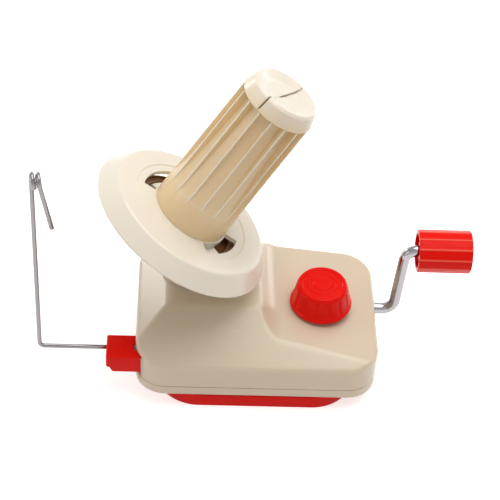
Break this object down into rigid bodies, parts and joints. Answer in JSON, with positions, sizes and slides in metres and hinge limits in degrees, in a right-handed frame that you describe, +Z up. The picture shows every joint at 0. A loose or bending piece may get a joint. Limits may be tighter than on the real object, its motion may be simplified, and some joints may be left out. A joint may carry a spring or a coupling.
{
  "type": "yarn winder",
  "caption": "Hand-cranked yarn cone winder: table-clamp base, tilted disc and fluted spindle driven by bevel gears, side crank, clamp knob, and a folding wire yarn guide",
  "frame": {"origin": "middle of the clamp jaw's underside, on which the closed winder stands, under the middle of the housing", "axes": "+Z up, +X towards the crank, -Y towards the user"},
  "size_m": [0.2136, 0.0974, 0.164],
  "materials": {
    "cream_plastic": "gloss",
    "red_plastic": "gloss",
    "white_plastic": "satin",
    "chrome": "polished",
    "steel": "satin",
    "brass": "satin",
    "bronze": "satin",
    "black_rubber": "matte"
  },
  "bodies": {
    "base": {"upper_shell": "cream_plastic", "lower_shell": "cream_plastic", "bearing_tower": "cream_plastic", "sun_gear": "white_plastic", "main_bush_upper": "bronze", "main_bush_lower": "bronze", "crank_bush_outer": "white_plastic", "crank_bush_inner": "white_plastic", "shell_screws": "steel", "tower_screws": "steel", "base_pad": "black_rubber", "knob_washer": "steel", "arm_screw": "steel"},
    "crank": {"crank_rod": "chrome", "drive_gear": "white_plastic", "crank_clips": "steel", "grip_retainer": "steel"},
    "grip": {"grip": "red_plastic"},
    "rotor": {"main_shaft": "steel", "pinion": "white_plastic", "thrust_washer": "white_plastic", "carrier": "cream_plastic", "carrier_pin": "steel", "axle_bushes": "bronze"},
    "spindle_unit": {"axle": "steel", "planet_gear": "white_plastic", "disc": "cream_plastic", "spindle": "cream_plastic", "spindle_tip": "cream_plastic", "axle_clip": "steel", "spindle_screws": "steel"},
    "clamp_knob": {"knob": "red_plastic", "clamp_nut": "brass"},
    "clamp": {"clamp_jaw": "red_plastic", "clamp_rod": "steel", "rod_nut": "steel", "jaw_pad": "black_rubber"},
    "arm": {"guide_arm": "red_plastic"},
    "yarn_guide": {"yarn_wire": "chrome", "wire_clip": "steel"}
  },
  "joints": [
    {"name": "rotor_turn", "type": "hinge", "parent": "base", "child": "rotor", "pos_m": [-0.0343, 0.01, 0.0638], "axis": [0, 0, 1], "continuous": true},
    {"name": "spindle_spin", "type": "hinge", "parent": "rotor", "child": "spindle_unit", "pos_m": [-0.0343, 0.01, 0.086], "axis": [0.5175, 0.082, 0.8517], "continuous": true},
    {"name": "crank_turn", "type": "hinge", "parent": "base", "child": "crank", "pos_m": [0.06, 0.01, 0.0218], "axis": [1, 0, 0], "continuous": true},
    {"name": "grip_spin", "type": "hinge", "parent": "crank", "child": "grip", "pos_m": [0.09, 0.01, 0.0633], "axis": [1, 0, 0], "continuous": true},
    {"name": "clamp_slide", "type": "slide", "parent": "base", "child": "clamp", "axis": [0, 0, -1], "range_m": [0, 0.025]},
    {"name": "knob_turn", "type": "hinge", "parent": "base", "child": "clamp_knob", "pos_m": [0.032, 0, 0.0388], "axis": [0, 0, 1], "range_deg": [0, 3600]},
    {"name": "arm_swing", "type": "hinge", "parent": "base", "child": "arm", "pos_m": [-0.0574, -0.0276, 0.0238], "axis": [0, 0, 1], "range_deg": [-40, 0]},
    {"name": "wire_fold", "type": "hinge", "parent": "arm", "child": "yarn_guide", "pos_m": [-0.08, -0.0242, 0.0244], "axis": [1, 0, 0], "range_deg": [-90, 90]}
  ],
  "couplings": [
    {"joint": "crank_turn", "follows": "rotor_turn", "ratio": -0.5},
    {"joint": "spindle_spin", "follows": "rotor_turn", "ratio": 1.0526},
    {"joint": "knob_turn", "follows": "clamp_slide", "rad_per_m": 2513.3}
  ]
}
